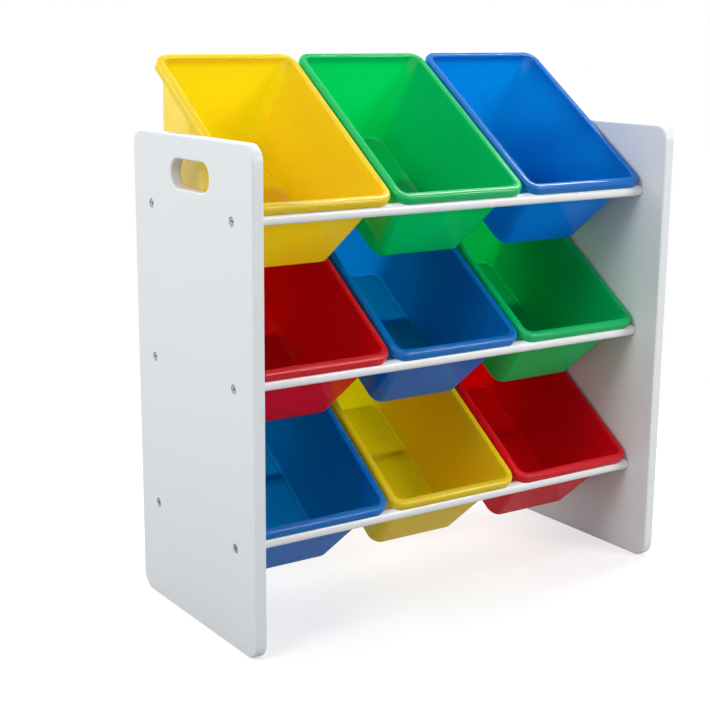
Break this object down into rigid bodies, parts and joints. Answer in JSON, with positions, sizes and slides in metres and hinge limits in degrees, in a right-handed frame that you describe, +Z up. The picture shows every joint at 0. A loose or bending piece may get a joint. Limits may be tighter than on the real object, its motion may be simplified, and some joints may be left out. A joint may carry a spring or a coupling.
{
  "type": "toy storage rack with bins",
  "caption": "Free-standing children's storage rack: two side panels joined by rods that carry open plastic bins leaning back in tiers, each of which lifts off.",
  "frame": {"origin": "on the floor, at the centre of the outline of the rack with its bins", "axes": "+X from the left panel to the right panel, +Y from the front to the back, +Z up"},
  "size_m": [0.642, 0.3182, 0.6899],
  "materials": {
    "panel_paint": "satin white paint on fibreboard",
    "rod_enamel": "smooth white enamel",
    "plug_nylon": "natural moulded plastic, hidden",
    "screw_steel": "zinc-plated steel",
    "yellow_plastic": "glossy moulded polypropylene",
    "green_plastic": "glossy moulded polypropylene",
    "blue_plastic": "glossy moulded polypropylene",
    "red_plastic": "glossy moulded polypropylene"
  },
  "bodies": {
    "rack": {"left_side_panel": "panel_paint", "right_side_panel": "panel_paint", "lower_front_rod": "rod_enamel", "lower_rear_rod": "rod_enamel", "middle_front_rod": "rod_enamel", "middle_rear_rod": "rod_enamel", "upper_front_rod": "rod_enamel", "upper_rear_rod": "rod_enamel", "left_rod_plugs": "plug_nylon", "right_rod_plugs": "plug_nylon", "left_panel_screws": "screw_steel", "right_panel_screws": "screw_steel"},
    "lower_left_bin": {"lower_left_bin": "blue_plastic"},
    "lower_centre_bin": {"lower_centre_bin": "yellow_plastic"},
    "lower_right_bin": {"lower_right_bin": "red_plastic"},
    "middle_left_bin": {"middle_left_bin": "red_plastic"},
    "middle_centre_bin": {"middle_centre_bin": "blue_plastic"},
    "middle_right_bin": {"middle_right_bin": "green_plastic"},
    "upper_left_bin": {"upper_left_bin": "yellow_plastic"},
    "upper_centre_bin": {"upper_centre_bin": "green_plastic"},
    "upper_right_bin": {"upper_right_bin": "blue_plastic"}
  },
  "joints": [
    {"name": "lower_left_lift", "type": "slide", "parent": "rack", "child": "lower_left_bin", "axis": [0, 0.8199, 0.5725], "range_m": [0, 0.32]},
    {"name": "lower_centre_lift", "type": "slide", "parent": "rack", "child": "lower_centre_bin", "axis": [0, 0.8199, 0.5725], "range_m": [0, 0.32]},
    {"name": "lower_right_lift", "type": "slide", "parent": "rack", "child": "lower_right_bin", "axis": [0, 0.8199, 0.5725], "range_m": [0, 0.32]},
    {"name": "middle_left_lift", "type": "slide", "parent": "rack", "child": "middle_left_bin", "axis": [0, 0.8199, 0.5725], "range_m": [0, 0.32]},
    {"name": "middle_centre_lift", "type": "slide", "parent": "rack", "child": "middle_centre_bin", "axis": [0, 0.8199, 0.5725], "range_m": [0, 0.32]},
    {"name": "middle_right_lift", "type": "slide", "parent": "rack", "child": "middle_right_bin", "axis": [0, 0.8199, 0.5725], "range_m": [0, 0.32]},
    {"name": "upper_left_lift", "type": "slide", "parent": "rack", "child": "upper_left_bin", "axis": [0, -0.5725, 0.8199], "range_m": [0, 0.2]},
    {"name": "upper_centre_lift", "type": "slide", "parent": "rack", "child": "upper_centre_bin", "axis": [0, -0.5725, 0.8199], "range_m": [0, 0.2]},
    {"name": "upper_right_lift", "type": "slide", "parent": "rack", "child": "upper_right_bin", "axis": [0, -0.5725, 0.8199], "range_m": [0, 0.2]}
  ]
}
